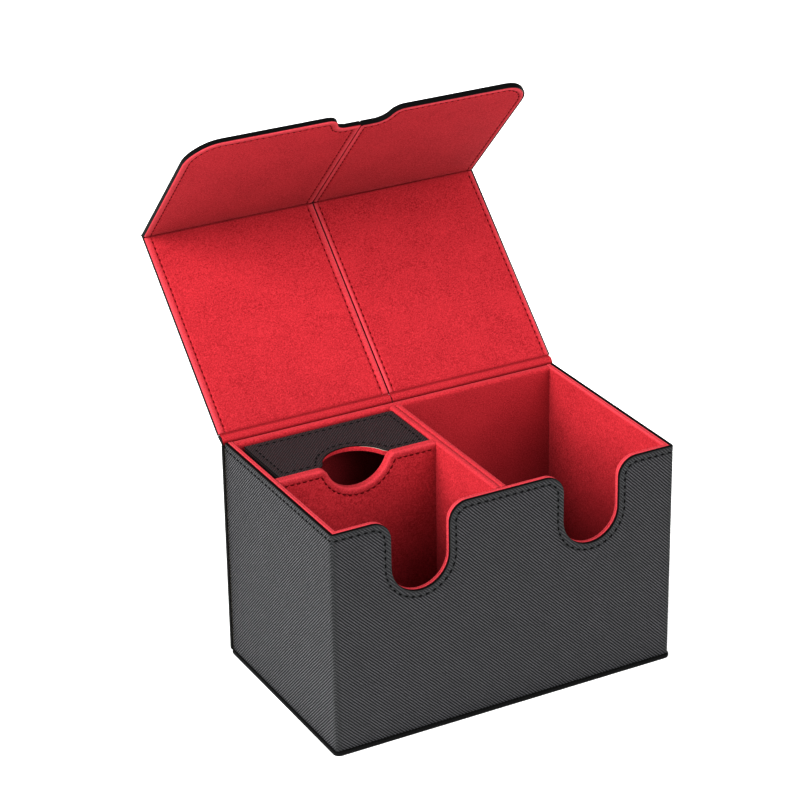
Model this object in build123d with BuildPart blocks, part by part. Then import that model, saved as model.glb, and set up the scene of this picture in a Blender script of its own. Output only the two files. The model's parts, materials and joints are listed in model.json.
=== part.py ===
from build123d import *
from math import cos, radians, sin, sqrt
import os

# Card storage box: a rigid board box in a book-style case with two flap lids and a lift-out tray.
# Millimetres. X is to the right, Y to the back, Z up. The origin is the middle of the underside.
os.makedirs("parts", exist_ok=True)

# Main sizes
box_width = 170.0
case_depth = 105.0
rim_height = 107.0
case_overhang = 0.9

# Sheet thicknesses
leather = 0.6
lining = 0.6
case_board = 1.6
wall_board = 2.8
divider_board = 1.8
partition_board = 3.3

# Thumb cut-outs of the front wall
cutout_width = 28.2
cutout_depth = 36.9
cutout_shoulder = 9.0

# Inside: where the two divider panels meet, and the cross partition with its thumb notch
divider_x = -1.0
front_well_depth = 51.6
thumb_radius = 16.0
thumb_depth = 12.5
thumb_shoulder = 4.0

# Lift-out tray standing on end
tray_drop = 0.8
tray_front_gap = 0.3
tray_back_gap = 2.4
tray_divider_gap = 0.4
tray_wall_gap = 2.6
tray_thumb_depth = 13.0
tray_leather = 0.5
tray_board = 1.5

# Lids and flaps
lid_open = 136.5
flap_fold = 90.0
lid_slit = 1.0
lid_clearance = 0.3
flap_clearance = 0.4
flap_length = 83.2
flap_chamfer_width = 9.0
flap_chamfer_length = 10.0
flap_front_round = 0.45
flap_side_round = 0.45
hinge_inset = 0.9
hinge_groove = 3.5
hinge_bead = 0.55
hinge_drop = 2.0
hinge_lip = 0.45
running_gap = 0.3
notch_half_width = 7.0
notch_run = 12.5
notch_depth = 9.4

# Base panel corners
base_corner = 3.0

# Closing magnets
magnet_diameter = 10.0
magnet_thickness = 1.6
magnet_rise = 13.0
magnet_spread = 21.0

# Levels of the box, from the inside out
case_half = box_width / 2 + case_overhang
side_out = box_width / 2
side_board_out = side_out - leather
side_board_in = side_board_out - wall_board
side_in = side_board_in - lining
front_out = -case_depth / 2 + case_overhang
front_board_out = front_out + leather
front_board_in = front_board_out + wall_board
front_in = front_board_in + lining
back_out = case_depth / 2
cover_board_out = back_out - leather
back_board_out = cover_board_out - case_board
back_board_in = back_board_out - wall_board
back_in = back_board_in - lining
base_top = leather + case_board
bottom_top = base_top + wall_board
floor_top = bottom_top + lining
board_rim = rim_height - lining
cover_top = rim_height - hinge_drop

# Levels of the divider and the partition
divider_panel = divider_board + 2 * lining
divider_left = divider_x - divider_panel
partition_front = front_in + front_well_depth
partition_board_front = partition_front + lining
partition_board_back = partition_board_front + partition_board
partition_back = partition_board_back + lining
well_middle = box_width / 4

# Levels of the tray
tray_right = divider_left - tray_divider_gap
tray_left = tray_wall_gap - side_in
tray_front = partition_back + tray_front_gap
tray_back = back_in - tray_back_gap
tray_top = rim_height - tray_drop
tray_bottom = floor_top
tray_middle = -well_middle

# Lid frame: its origin lies on the hinge line, local -Y runs from the hinge to the front crease
# and local Z from the lining to the leather. Closed, it lines up with the box.
hinge_y = back_out - hinge_inset
hinge_z = rim_height + lid_clearance
lid_board_top = lining + case_board
lid_top = lid_board_top + leather
strip_thickness = lining + leather
lid_normal = 90 - lid_open
lid_frame = Plane(
    origin=(0, hinge_y, hinge_z),
    x_dir=(1, 0, 0),
    z_dir=(0, cos(radians(lid_normal)), sin(radians(lid_normal))),
)
lid_inner = lid_slit / 2
inner_crease = front_out - flap_clearance - hinge_y

# Flap frame: its origin lies on the crease line, local -Y runs from the crease to the flap's edge
# and local Z from the lining to the leather.
crease_bead = leather
crease_y = inner_crease - lid_board_top
flap_normal = lid_normal + flap_fold
flap_frame = Plane(
    origin=lid_frame.from_local_coords((0, crease_y, lid_board_top)),
    x_dir=(1, 0, 0),
    z_dir=(0, cos(radians(flap_normal)), sin(radians(flap_normal))),
)
flap_reach = flap_length + lid_board_top
magnet_y = magnet_rise - flap_reach
magnet_height = hinge_z + lid_board_top + magnet_y
magnet_x = (well_middle - magnet_spread, well_middle + magnet_spread)
magnet_places = [(x, magnet_y) for x in magnet_x]
front_magnet_places = [(side * x, magnet_height) for side in (-1, 1) for x in magnet_x]


def write(name, piece):
    """Label a finished piece and write its file."""
    piece.label = name
    export_step(piece, f"parts/{name}.step")


def write_pair(name, piece):
    """Write a right-hand piece and its mirror image on the left."""
    with BuildPart() as twin:
        mirror(piece, about=Plane.YZ)
    write(f"right_{name}", piece)
    write(f"left_{name}", twin.part)


def block(x, y, z, mode=Mode.ADD):
    """A block between three pairs of limits, in the part that is being built."""
    with Locations(((x[0] + x[1]) / 2, (y[0] + y[1]) / 2, (z[0] + z[1]) / 2)):
        Box(x[1] - x[0], y[1] - y[0], z[1] - z[0], mode=mode)


def side_plane(frame, x):
    """The plane across a lid or flap frame at a distance x, for profiles that run along X."""
    return Plane(origin=frame.from_local_coords((x, 0, 0)), x_dir=frame.y_dir, z_dir=frame.x_dir)


def front_outline(half_width, inset):
    """Front wall outline with its two thumb cut-outs, drawn back by inset at the rim."""
    top = rim_height - inset
    half_cut = cutout_width / 2 + inset
    shoulder = cutout_shoulder - inset
    straight_end = rim_height - cutout_depth + cutout_width / 2
    shoulder_z = rim_height - cutout_shoulder
    lowest = straight_end - half_cut
    turn = sqrt(0.5) * shoulder
    with BuildSketch() as outline:
        with BuildLine():
            start = (-half_width, base_top)
            corner = (-half_width, top)
            Line(start, corner)
            for middle in (-well_middle, well_middle):
                left = middle - half_cut
                right = middle + half_cut
                Line(corner, (left - shoulder, top))
                ThreePointArc(
                    (left - shoulder, top),
                    (left - shoulder + turn, shoulder_z + turn),
                    (left, shoulder_z),
                )
                Line((left, shoulder_z), (left, straight_end))
                ThreePointArc((left, straight_end), (middle, lowest), (right, straight_end))
                Line((right, straight_end), (right, shoulder_z))
                ThreePointArc(
                    (right, shoulder_z),
                    (right + shoulder - turn, shoulder_z + turn),
                    (right + shoulder, top),
                )
                corner = (right + shoulder, top)
            Line(corner, (half_width, top))
            Line((half_width, top), (half_width, base_top))
            Line((half_width, base_top), start)
        make_face()
    return outline.sketch


def thumb_outline(x, low, high, depth, inset):
    """Panel outline between x limits with a thumb notch in its high edge, drawn back by inset."""
    top = high - inset
    centre = high + thumb_radius - depth
    with BuildSketch() as outline:
        with Locations(((x[0] + x[1]) / 2, (low + top) / 2)):
            Rectangle(x[1] - x[0], top - low)
        with Locations((tray_middle, centre)):
            Circle(thumb_radius + inset, mode=Mode.SUBTRACT)
        top_corners = outline.vertices().group_by(Axis.Y)[-1].sort_by(Axis.X)
        fillet(top_corners[1:-1], thumb_shoulder - inset)
    return outline.sketch


def flap_outline(inset, slit_inset):
    """Right flap outline: soft slanting outer corner, and half of the thumb notch beside the slit."""
    inner = lid_inner + slit_inset
    outer = case_half - inset
    edge = inset - flap_reach
    slant = sqrt(flap_chamfer_width**2 + flap_chamfer_length**2)
    chamfer_y = flap_chamfer_length - flap_reach
    chamfer_y += inset * (slant - flap_chamfer_length) / flap_chamfer_width
    chamfer_x = case_half - flap_chamfer_width
    chamfer_x -= inset * (slant - flap_chamfer_width) / flap_chamfer_length
    front_radius = flap_front_round * slant * (slant + flap_chamfer_width) / flap_chamfer_length
    side_radius = flap_side_round * slant * (slant + flap_chamfer_length) / flap_chamfer_width
    radius = (notch_run**2 + notch_depth**2) / (4 * notch_depth)
    convex = Vector(notch_half_width + notch_run, radius - flap_reach)
    hollow = Vector(notch_half_width, notch_depth - radius - flap_reach)
    across = (hollow - convex).normalized()
    down = Vector(0, -1)
    convex_radius = radius - inset
    hollow_radius = radius + inset
    joint = convex + across * convex_radius
    notch_floor = hollow - down * hollow_radius
    with BuildSketch() as outline:
        with BuildLine():
            Line((inner, 0), (outer, 0))
            Polyline((outer, 0), (outer, chamfer_y), (chamfer_x, edge), (convex.X, edge))
            ThreePointArc(
                (convex.X, edge),
                convex + (down + across).normalized() * convex_radius,
                joint,
            )
            ThreePointArc(
                joint,
                hollow - (down + across).normalized() * hollow_radius,
                notch_floor,
            )
            Line(notch_floor, (inner, notch_floor.Y))
            Line((inner, notch_floor.Y), (inner, 0))
        make_face()
        fillet(outline.vertices().sort_by_distance((outer, chamfer_y))[0], side_radius - inset)
        fillet(outline.vertices().sort_by_distance((chamfer_x, edge))[0], front_radius - inset)
    return outline.sketch


def lid_section(low, high, back, gap):
    """Lid profile between two levels, from the hinge side to the mitre at the front crease."""
    mitre = crease_y + lid_board_top + gap * sqrt(2)
    with BuildSketch() as section:
        with BuildLine():
            Polyline((back, low), (back, high), (mitre - high, high), (mitre - low, low), close=True)
        make_face()
    return section.sketch


def flap_mitre(gap):
    """The corner cut off a flap at the crease, as a profile across the flap frame."""
    far = 2 * lid_top
    slant = gap * sqrt(2)
    with BuildSketch() as section:
        with BuildLine():
            Polyline((far, -far), (-far - slant, -far), (far - slant, far), (far, far), close=True)
        make_face()
    return section.sketch


# Case: base panel and back panel, boards wrapped in one sheet of leather
with BuildPart() as base_leather:
    with BuildSketch():
        RectangleRounded(2 * case_half, case_depth, base_corner)
    extrude(amount=base_top)
    with BuildSketch(Plane.XY.offset(leather)):
        RectangleRounded(2 * (case_half - leather), case_depth - 2 * leather, base_corner - leather)
    extrude(amount=case_board, mode=Mode.SUBTRACT)
write("base_leather", base_leather.part)

with BuildPart() as base_board:
    with BuildSketch(Plane.XY.offset(leather)):
        RectangleRounded(2 * (case_half - leather), case_depth - 2 * leather, base_corner - leather)
    extrude(amount=case_board)
write("base_board", base_board.part)

with BuildPart() as back_cover_board:
    block(
        (leather - case_half, case_half - leather),
        (back_board_out, cover_board_out),
        (base_top, cover_top - leather),
    )
write("back_cover_board", back_cover_board.part)

with BuildPart() as back_leather:
    block((-case_half, case_half), (back_board_out, back_out), (base_top, cover_top))
    block(
        (leather - case_half, case_half - leather),
        (back_board_out, cover_board_out),
        (base_top, cover_top - leather),
        mode=Mode.SUBTRACT,
    )
write("back_leather", back_leather.part)

# Box: bottom and four walls of board
with BuildPart() as bottom_board:
    block(
        (-side_board_out, side_board_out), (front_board_out, back_board_out), (base_top, bottom_top)
    )
write("bottom_board", bottom_board.part)

with BuildPart() as front_panel:
    with BuildSketch(Plane.XZ.offset(-front_board_in)):
        add(front_outline(side_board_in, lining))
    extrude(amount=wall_board)
    block(
        (-side_board_in, side_board_in),
        (front_board_out, front_board_in),
        (base_top, bottom_top),
        mode=Mode.SUBTRACT,
    )
    with BuildSketch(Plane.XZ.offset(-front_board_out)):
        with Locations(*front_magnet_places):
            Circle(magnet_diameter / 2)
    extrude(amount=-magnet_thickness, mode=Mode.SUBTRACT)
write("front_board", front_panel.part)

with BuildPart() as front_magnets:
    with BuildSketch(Plane.XZ.offset(-front_board_out)):
        with Locations(*front_magnet_places):
            Circle(magnet_diameter / 2)
    extrude(amount=-magnet_thickness)
write("front_magnets", front_magnets.part)

with BuildPart() as back_board:
    block((-side_board_in, side_board_in), (back_board_in, back_board_out), (bottom_top, board_rim))
write("back_board", back_board.part)

with BuildPart() as side_board:
    block((side_board_in, side_board_out), (front_board_out, back_board_out), (bottom_top, board_rim))
write_pair("side_board", side_board.part)

# Outer leather of the box
with BuildPart() as front_leather:
    with BuildSketch(Plane.XZ.offset(-front_board_out)):
        add(front_outline(side_out, 0))
    extrude(amount=leather)
write("front_leather", front_leather.part)

with BuildPart() as side_leather:
    block((side_board_out, side_out), (front_board_out, back_board_out), (base_top, rim_height))
write_pair("side_leather", side_leather.part)

# Lining: floor, and walls with the part that turns over the rim
with BuildPart() as floor_lining:
    block((-side_in, side_in), (front_in, back_in), (bottom_top, floor_top))
write("floor_lining", floor_lining.part)

with BuildPart() as front_lining:
    with BuildSketch(Plane.XZ.offset(-front_in)):
        add(front_outline(side_board_in, 0))
    extrude(amount=wall_board + lining)
    with BuildSketch(Plane.XZ.offset(-front_board_in)):
        add(front_outline(side_board_in, lining))
    extrude(amount=wall_board, mode=Mode.SUBTRACT)
    block(
        (-side_board_in, side_board_in),
        (front_board_out, front_in),
        (base_top, bottom_top),
        mode=Mode.SUBTRACT,
    )
write("front_lining", front_lining.part)

with BuildPart() as back_lining:
    block((-side_board_in, side_board_in), (back_in, back_board_in), (bottom_top, rim_height))
    block(
        (-side_board_in, side_board_in),
        (back_board_in, back_board_out + hinge_lip),
        (board_rim, rim_height),
    )
write("back_lining", back_lining.part)

with BuildPart() as side_lining:
    block((side_in, side_board_in), (front_in, back_in), (bottom_top, rim_height))
    block((side_board_in, side_board_out), (front_board_out, back_board_out), (board_rim, rim_height))
write_pair("side_lining", side_lining.part)

# Centre divider: two panels side by side, each wrapped over its top edge
divider_y = (front_in, back_in)
for side, low_x in (("left", divider_left), ("right", divider_x)):
    panel_x = (low_x, low_x + divider_panel)
    panel_board_x = (panel_x[0] + lining, panel_x[1] - lining)
    with BuildPart() as panel_board:
        block(panel_board_x, divider_y, (floor_top, board_rim))
    write(f"{side}_divider_board", panel_board.part)

    with BuildPart() as panel_lining:
        block(panel_x, divider_y, (floor_top, rim_height))
        block(panel_board_x, divider_y, (floor_top, board_rim), mode=Mode.SUBTRACT)
    write(f"{side}_divider_lining", panel_lining.part)

# Cross partition of the left half, with its thumb notch
partition_x = (-side_in, divider_left)
with BuildPart() as cross_board:
    with BuildSketch(Plane.XZ.offset(-partition_board_back)):
        add(thumb_outline(partition_x, floor_top, rim_height, thumb_depth, lining))
    extrude(amount=partition_board)
write("partition_board", cross_board.part)

with BuildPart() as cross_lining:
    with BuildSketch(Plane.XZ.offset(-partition_back)):
        add(thumb_outline(partition_x, floor_top, rim_height, thumb_depth, 0))
    extrude(amount=partition_board + 2 * lining)
    with BuildSketch(Plane.XZ.offset(-partition_board_back)):
        add(thumb_outline(partition_x, floor_top, rim_height, thumb_depth, lining))
    extrude(amount=partition_board, mode=Mode.SUBTRACT)
write("partition_lining", cross_lining.part)

# Tray: five boards, leather outside, lining inside and over the open edge
tray_x_out = (tray_left, tray_right)
tray_x_board = (tray_left + tray_leather, tray_right - tray_leather)
tray_x_in = (tray_x_board[0] + tray_board, tray_x_board[1] - tray_board)
tray_z_board = (tray_bottom + tray_leather, tray_top - tray_leather)
tray_z_in = (tray_z_board[0] + tray_board, tray_z_board[1] - tray_board)
tray_back_board_out = tray_back - tray_leather
tray_back_board_in = tray_back_board_out - tray_board
tray_board_front = tray_front + lining
tray_y_walls = (tray_board_front, tray_back_board_in)


def tray_notch(inset, y):
    """Tray top panel between y limits, with the thumb notch in its open edge."""
    outline = thumb_outline(tray_x_out, -tray_back, -tray_front, tray_thumb_depth, inset)
    with BuildSketch() as panel:
        mirror(outline, about=Plane.XZ)
        with Locations((sum(tray_x_board) / 2, sum(y) / 2)):
            Rectangle(tray_x_board[1] - tray_x_board[0], y[1] - y[0], mode=Mode.INTERSECT)
    return panel.sketch


with BuildPart() as tray_skin:
    block(tray_x_out, (tray_front, tray_back), (tray_bottom, tray_top))
    block(
        tray_x_board,
        (tray_front, tray_back_board_out),
        (tray_z_board[0], tray_top),
        mode=Mode.SUBTRACT,
    )
    with BuildSketch(Plane.XY.offset(tray_z_board[1])):
        add(tray_notch(0, (tray_front, tray_back_board_out)))
    extrude(amount=tray_leather)
write("tray_leather", tray_skin.part)

with BuildPart() as tray_top_board:
    with BuildSketch(Plane.XY.offset(tray_z_in[1])):
        add(tray_notch(lining, tray_y_walls))
    extrude(amount=tray_board)
write("tray_top_board", tray_top_board.part)

with BuildPart() as tray_bottom_board:
    block(tray_x_board, tray_y_walls, (tray_z_board[0], tray_z_in[0]))
write("tray_bottom_board", tray_bottom_board.part)

with BuildPart() as tray_left_board:
    block((tray_x_board[0], tray_x_in[0]), tray_y_walls, tray_z_in)
write("tray_left_board", tray_left_board.part)

with BuildPart() as tray_right_board:
    block((tray_x_in[1], tray_x_board[1]), tray_y_walls, tray_z_in)
write("tray_right_board", tray_right_board.part)

with BuildPart() as tray_back_board:
    block(tray_x_board, (tray_back_board_in, tray_back_board_out), tray_z_board)
write("tray_back_board", tray_back_board.part)

tray_ceiling = tray_z_in[1] - lining
with BuildPart() as tray_inside:
    block(tray_x_board, (tray_front, tray_back_board_in), (tray_z_board[0], tray_ceiling))
    with BuildSketch(Plane.XY.offset(tray_ceiling)):
        add(tray_notch(0, (tray_front, tray_back_board_in)))
    extrude(amount=tray_z_board[1] - tray_ceiling)
    block(
        (tray_x_in[0] + lining, tray_x_in[1] - lining),
        (tray_front, tray_back_board_in - lining),
        (tray_z_in[0] + lining, tray_ceiling),
        mode=Mode.SUBTRACT,
    )
    for panel in (tray_top_board, tray_bottom_board, tray_left_board, tray_right_board):
        add(panel.part, mode=Mode.SUBTRACT)
write("tray_lining", tray_inside.part)

# Lids: leather over board over lining, on a strip that bends at the back of the rim
lid_x = (lid_inner, case_half)
lid_board_x = (lid_inner + leather, case_half - leather)
lid_board_gap = crease_bead
with BuildPart() as lid_board:
    with BuildSketch(side_plane(lid_frame, lid_board_x[0])):
        add(lid_section(lining, lid_board_top, -hinge_groove - leather, lid_board_gap))
    extrude(amount=lid_board_x[1] - lid_board_x[0])
write_pair("lid_board", lid_board.part)

with BuildPart() as lid_lining:
    with BuildSketch(side_plane(lid_frame, lid_inner)):
        add(lid_section(0, lining, -hinge_groove, running_gap / 2))
    extrude(amount=lid_board_x[1] - lid_inner)
write_pair("lid_lining", lid_lining.part)

with BuildPart() as lid_leather:
    with BuildSketch(side_plane(lid_frame, lid_inner)):
        with BuildLine():
            Polyline(
                (-hinge_groove, lining),
                (-hinge_groove, lid_top),
                (crease_y, lid_top),
                (crease_y, lid_board_top),
                (-hinge_groove - leather, lid_board_top),
                (-hinge_groove - leather, lining),
                close=True,
            )
        make_face()
        with Locations((crease_y, lid_board_top)):
            Circle(crease_bead)
    extrude(amount=case_half - lid_inner)
    with BuildSketch(side_plane(lid_frame, lid_inner)):
        add(lid_section(lining, lid_board_top, -hinge_groove, lid_board_gap))
    extrude(amount=leather)
    with BuildSketch(side_plane(lid_frame, lid_board_x[1])):
        add(lid_section(0, lid_board_top, -hinge_groove, lid_board_gap))
    extrude(amount=leather)
write_pair("lid_leather", lid_leather.part)

with BuildPart() as hinge_strip:
    with BuildSketch(side_plane(lid_frame, lid_inner)):
        with Locations((-hinge_groove / 2, strip_thickness / 2)):
            Rectangle(hinge_groove, strip_thickness)
        Circle(hinge_bead)
    extrude(amount=side_out - lid_inner)
write_pair("hinge_strip", hinge_strip.part)

# Flaps: folded down from the front crease of each lid
flap_gap = crease_bead + running_gap
flap_width = case_half + lid_top
with BuildPart() as flap_board:
    with BuildSketch(flap_frame.offset(-case_board)):
        add(flap_outline(leather, leather))
    extrude(amount=case_board)
    with BuildSketch(side_plane(flap_frame, 0)):
        add(flap_mitre(flap_gap))
    extrude(amount=flap_width, mode=Mode.SUBTRACT)
    with BuildSketch(flap_frame.offset(-case_board)):
        with Locations(*magnet_places):
            Circle(magnet_diameter / 2)
    extrude(amount=case_board, mode=Mode.SUBTRACT)
write_pair("flap_board", flap_board.part)

with BuildPart() as flap_magnets:
    with BuildSketch(flap_frame.offset(-case_board)):
        with Locations(*magnet_places):
            Circle(magnet_diameter / 2)
    extrude(amount=case_board)
write_pair("flap_magnets", flap_magnets.part)

with BuildPart() as flap_lining:
    with BuildSketch(flap_frame.offset(-lid_board_top)):
        add(flap_outline(leather, 0))
    extrude(amount=lining)
    with BuildSketch(side_plane(flap_frame, 0)):
        add(flap_mitre(running_gap / 2))
    extrude(amount=flap_width, mode=Mode.SUBTRACT)
write_pair("flap_lining", flap_lining.part)

with BuildPart() as flap_leather:
    with BuildSketch(flap_frame.offset(-lid_board_top)):
        add(flap_outline(0, 0))
    extrude(amount=lid_top)
    with BuildSketch(flap_frame.offset(-case_board)):
        add(flap_outline(leather, leather))
    extrude(amount=case_board, mode=Mode.SUBTRACT)
    with BuildSketch(flap_frame.offset(-lid_board_top)):
        add(flap_outline(leather, 0))
    extrude(amount=lining, mode=Mode.SUBTRACT)
    with BuildSketch(side_plane(flap_frame, 0)):
        add(flap_mitre(flap_gap))
    extrude(amount=flap_width, mode=Mode.SUBTRACT)
write_pair("flap_leather", flap_leather.part)
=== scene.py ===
import json
import math

import bmesh
import bpy
from mathutils import Matrix, Vector


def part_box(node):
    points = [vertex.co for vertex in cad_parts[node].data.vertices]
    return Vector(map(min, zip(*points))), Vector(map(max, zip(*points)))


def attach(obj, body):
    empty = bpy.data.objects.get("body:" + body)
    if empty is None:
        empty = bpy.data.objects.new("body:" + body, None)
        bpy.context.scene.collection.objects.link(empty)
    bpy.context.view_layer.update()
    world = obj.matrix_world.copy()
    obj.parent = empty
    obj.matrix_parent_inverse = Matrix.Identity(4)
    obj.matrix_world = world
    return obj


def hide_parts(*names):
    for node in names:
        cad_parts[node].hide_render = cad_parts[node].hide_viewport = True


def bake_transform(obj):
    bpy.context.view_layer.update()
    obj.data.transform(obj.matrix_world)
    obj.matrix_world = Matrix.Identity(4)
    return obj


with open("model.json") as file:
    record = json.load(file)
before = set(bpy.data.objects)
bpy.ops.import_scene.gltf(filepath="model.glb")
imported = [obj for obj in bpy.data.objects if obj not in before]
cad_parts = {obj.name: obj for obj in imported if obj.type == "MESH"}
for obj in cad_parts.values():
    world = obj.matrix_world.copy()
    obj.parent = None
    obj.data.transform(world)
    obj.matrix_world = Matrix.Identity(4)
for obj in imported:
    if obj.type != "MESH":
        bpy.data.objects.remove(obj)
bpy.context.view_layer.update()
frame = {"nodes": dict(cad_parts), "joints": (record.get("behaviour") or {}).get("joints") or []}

# Sheets are drawn flat in millimetres and placed in the frame, which is in metres
MM = 0.001
X, Y, Z = 0, 1, 2
LOW, HIGH = 0, 1

# How a point of a sheet is marked for its material. Faces marked above the last value are inked.
WALL = 1.0
MARGIN = 0.5
FIELD = 0.0
# Suede marked below zero is painted darker: painted shade in slits, creases, grooves and tucks
PAINTED_SHADE = -1.0
INKED_ABOVE = 0.79

SHARP_ANGLE = math.radians(40)
ARC_STEPS = 12


def reach(node, axis, end):
    """Where a CAD node ends along an axis, in millimetres."""
    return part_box(node)[end][axis] / MM


def extents(node):
    """Left, right, front, back, low and high of a CAD node, in millimetres."""
    return [reach(node, axis, end) for axis in (X, Y, Z) for end in (LOW, HIGH)]


# Levels of the box, from the frame
side_out = reach("right_side_leather", X, HIGH)
side_board_out = reach("right_side_board", X, HIGH)
side_in = reach("right_side_lining", X, LOW)
side_end = reach("right_side_leather", Y, HIGH)
front_out = reach("front_leather", Y, LOW)
front_in = reach("front_lining", Y, HIGH)
back_in = reach("back_lining", Y, LOW)
back_board_in = reach("back_board", Y, LOW)
back_lip = reach("back_lining", Y, HIGH)
back_board_out = reach("back_board", Y, HIGH)
back_out = reach("back_leather", Y, HIGH)
case_half = reach("base_leather", X, HIGH)
case_front = reach("base_leather", Y, LOW)
base_top = reach("base_leather", Z, HIGH)
cover_top = reach("back_leather", Z, HIGH)
lining_foot = reach("front_lining", Z, LOW)
floor_top = reach("floor_lining", Z, HIGH)
board_rim = reach("front_board", Z, HIGH)
rim = reach("front_lining", Z, HIGH)
leather = side_out - side_board_out
lining = floor_top - lining_foot

# Sizes of the cut-outs and notches
well_middle = 42.5
cutout_width = 28.2
cutout_depth = 36.9
cutout_shoulder = 9.0
thumb_radius = 16.0
thumb_depth = 12.5
thumb_shoulder = 4.0
tray_thumb_depth = 13.0
flap_chamfer_width = 9.0
flap_chamfer_length = 10.0
flap_front_round = 0.45
flap_side_round = 0.45
notch_half_width = 7.0
notch_run = 12.5
notch_depth = 9.4
base_corner = 3.0

# Soft edges, seams and thread
leather_corner = 1.5
tray_corner = 0.8
leather_seam = 3.0
lining_seam = 3.2
leather_stitch = 2.2
leather_pitch = 3.5
lining_stitch = 1.9
lining_pitch = 3.0
leather_thread = 0.37
lining_thread = 0.34
leather_sunk = 0.3
lining_sunk = 0.44

# How far the lining comes round the edges of lids and flaps
edge_roll = 0.55

# How far the outer face of their leather rounds off towards the edge
turned_roll = 0.1

# The soft edges of the two lids swell towards each other until the slit between them is a dark line
slit_closing = 0.26

# How far the linings of lids and flaps stop short of the leather's edge
lining_gaps = {"left": 0.1, "right": 0.8}

# How far inside their edges the linings of lids and flaps are sewn
lining_seams = {"left": lining_seam, "right": 2.3}

# How deep under the lining's face the turned leather ends
lip_depths = {"left": edge_roll + 0.05, "right": 0.12}

# Half of the dark crease between a lid's lining and its flap's
crease_half = 0.4

# How far the leather of the box comes over its rim
bead_over = 0.8


class Shape:
    """Points of a flat sheet (across, along, out) in millimetres, with faces, marks and pattern places."""

    def __init__(self):
        self.points = []
        self.faces = []
        self.marks = []
        self.pattern = []

    def add(self, points, faces, marks, pattern=None):
        """Adds points and the faces between them. The pattern follows the sheet unless it is given."""
        first = len(self.points)
        self.points += points
        self.marks += marks
        self.pattern += pattern or [point[:2] for point in points]
        self.faces += [[first + corner for corner in face] for face in faces]
        return self


def arc(centre, radius, start, end, steps=ARC_STEPS):
    """Points on an arc between two angles in degrees, both ends included."""
    points = []
    for step in range(steps + 1):
        angle = math.radians(start + (end - start) * step / steps)
        points.append((centre[0] + radius * math.cos(angle), centre[1] + radius * math.sin(angle)))
    return points


def edge(points, drawn):
    """Outline points whose following edges are finished (drawn) or run on under something else."""
    same_point = 1e-6
    outline = []
    for a, b in points:
        if not outline or math.dist(outline[-1][:2], (a, b)) > same_point:
            outline.append((a, b, drawn))
    return outline


def cutout(centre, top):
    """Right to left along the top edge through a deep cut-out with round shoulders."""
    half = cutout_width / 2
    shoulder_level = top - cutout_shoulder
    round_level = top - cutout_depth + half
    away = half + cutout_shoulder
    points = arc((centre + away, shoulder_level), cutout_shoulder, 90, 180)
    points += arc((centre, round_level), half, 0, -180, 2 * ARC_STEPS)
    points += arc((centre - away, shoulder_level), cutout_shoulder, 0, 90)
    return points


def thumb_notch(centre, top, depth):
    """Right to left along the top edge through a shallow round notch with soft shoulders."""
    rise = thumb_radius - depth + thumb_shoulder
    away = math.sqrt((thumb_radius + thumb_shoulder) ** 2 - rise**2)
    turn = math.degrees(math.asin(rise / (thumb_radius + thumb_shoulder)))
    shoulder_level = top - thumb_shoulder
    points = arc((centre + away, shoulder_level), thumb_shoulder, 90, 180 - turn, ARC_STEPS // 2)
    points += arc((centre, top - depth + thumb_radius), thumb_radius, -turn, turn - 180, 2 * ARC_STEPS)
    points += arc((centre - away, shoulder_level), thumb_shoulder, turn, 90, ARC_STEPS // 2)
    return points


def rounded_corner(before, corner, after, radius):
    """Points of a fillet between two straight edges."""
    corner = Vector(corner)
    into = (Vector(before) - corner).normalized()
    away = (Vector(after) - corner).normalized()
    half_angle = into.angle(away) / 2
    centre = corner + (into + away).normalized() * (radius / math.sin(half_angle))
    start = corner + into * (radius / math.tan(half_angle)) - centre
    end = corner + away * (radius / math.tan(half_angle)) - centre
    first = math.degrees(math.atan2(start.y, start.x))
    turn = math.degrees(math.atan2(start.x * end.y - start.y * end.x, start.dot(end)))
    return arc(centre, radius, first, first + turn, ARC_STEPS // 2)


def rectangle(left, right, low, high):
    """Corners in order, from the low left one."""
    return [(left, low), (right, low), (right, high), (left, high)]


def rounded_rectangle(left, right, low, high, radius):
    """All four corners rounded, every edge finished."""
    corners = rectangle(left, right, low, high)
    points = []
    for index, corner in enumerate(corners):
        points += rounded_corner(corners[index - 1], corner, corners[(index + 1) % 4], radius)
    return edge(points, True)


def open_ended(left, right, low, high):
    """A rectangle with finished sides. Its low and high edges run on."""
    corners = rectangle(left, right, low, high)
    return [(a, b, index % 2 == 1) for index, (a, b) in enumerate(corners)]


def drawn_in(outline, inset):
    """The outline moved inwards by the inset, except along the edges that run on."""
    straight = 1e-5
    moved = []
    count = len(outline)
    for index, (a, b, drawn) in enumerate(outline):
        a0, b0, drawn_before = outline[index - 1]
        a1, b1, _ = outline[(index + 1) % count]
        into = Vector((a - a0, b - b0)).normalized()
        away = Vector((a1 - a, b1 - b)).normalized()
        before = Vector((-into.y, into.x))
        after = Vector((-away.y, away.x))
        by_before = inset * drawn_before
        by_after = inset * drawn
        turn = before.x * after.y - before.y * after.x
        if abs(turn) < straight:
            move = after * (by_before + by_after) / 2
        else:
            move = Vector((
                (by_before * after.y - by_after * before.y) / turn,
                (by_after * before.x - by_before * after.x) / turn,
            ))
        moved.append((a + move.x, b + move.y))
    return moved


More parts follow.
